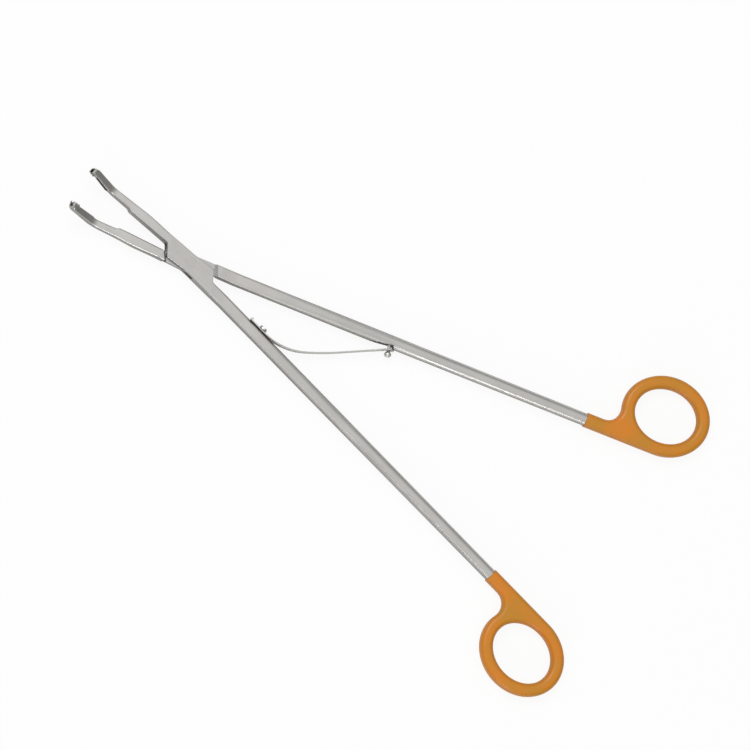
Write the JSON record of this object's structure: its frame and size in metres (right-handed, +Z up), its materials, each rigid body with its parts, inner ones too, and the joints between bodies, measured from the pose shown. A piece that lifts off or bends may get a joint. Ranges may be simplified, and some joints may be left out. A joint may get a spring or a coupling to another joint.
{
  "type": "surgical clip applier",
  "caption": "Long ring-handled clip applier with a box lock, slim jaws whose raised channelled tips hold a clip, a leaf spring between the shanks and coated finger rings.",
  "frame": {"origin": "on the pivot axis, in the plane that the instrument lies on", "axes": "+X runs midway between the shanks from the box lock to the finger rings, +Z is up, along the pivot, the way the jaw tips rise"},
  "size_m": [0.275, 0.1492, 0.0115],
  "materials": {
    "lever_steel": "satin, brushed",
    "pin_steel": "satin, brushed flush with the box",
    "spring_steel": "satin",
    "bright_steel": "bright",
    "ring_coat": "satin, hard baked coat"
  },
  "bodies": {
    "box_lever_body": {"box_lever": "lever_steel", "box_lever_ring_coat": "ring_coat", "pivot_pin": "pin_steel", "leaf_spring": "spring_steel", "spring_screw": "bright_steel"},
    "tongue_lever_body": {"tongue_lever": "lever_steel", "tongue_lever_ring_coat": "ring_coat", "guide_stud": "bright_steel"}
  },
  "joints": [
    {"name": "box_lock_pivot", "type": "hinge", "parent": "box_lever_body", "child": "tongue_lever_body", "pos_m": [0, 0, 0.0028], "axis": [0, 0, -1], "range_deg": [0, 13.9], "stiffness_Nm_per_rad": 1, "springref_deg": -8.59, "deforming": ["leaf_spring"]}
  ]
}
